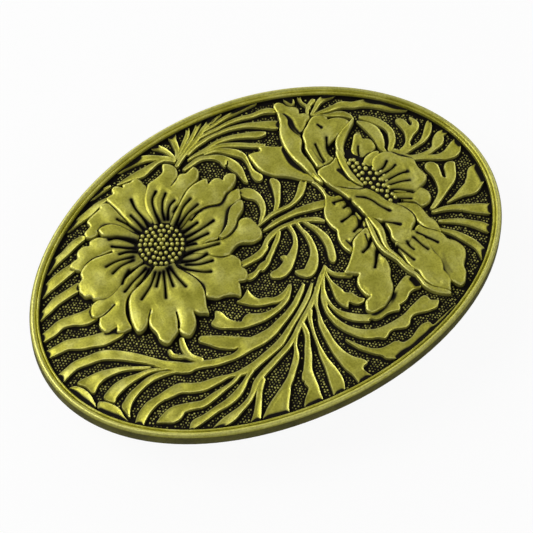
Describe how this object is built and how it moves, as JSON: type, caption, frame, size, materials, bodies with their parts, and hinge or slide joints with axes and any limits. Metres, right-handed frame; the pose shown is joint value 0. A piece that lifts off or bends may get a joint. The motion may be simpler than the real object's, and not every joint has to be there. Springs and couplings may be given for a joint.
{
  "type": "belt buckle",
  "caption": "Bowed oval plate belt buckle carved with flowers and leaves, with a hinged wire bail and a leaning hook peg on its back.",
  "frame": {"origin": "centre of the flat pad in the middle of the plate's back, on the pad's face", "axes": "+X along the oval's long axis towards the hook end, +Y up as worn, +Z out of the carved face"},
  "size_m": [0.096, 0.0682, 0.0146],
  "materials": {
    "antique_casting": "antique brass plating on a zinc casting, blackened in the recesses and rubbed back on the high parts",
    "stamped_brass": "dull antique brass plating",
    "turned_brass": "satin antique brass plating",
    "bail_wire": "satin antique brass plating, rubbed where the strap bears",
    "steel_pin": "plain steel, lightly darkened",
    "screws": "darkened steel"
  },
  "bodies": {
    "buckle": {"face_plate": "antique_casting", "hinge_bracket": "stamped_brass", "hinge_pin": "steel_pin", "bracket_screws": "screws", "hook_plate": "stamped_brass", "hook_peg": "turned_brass", "hook_screws": "screws"},
    "bail": {"bail": "bail_wire"}
  },
  "joints": [
    {"name": "bail_swing", "type": "hinge", "parent": "buckle", "child": "bail", "pos_m": [-0.013, 0, -0.0034], "axis": [0, -1, 0], "range_deg": [0, 175]}
  ]
}
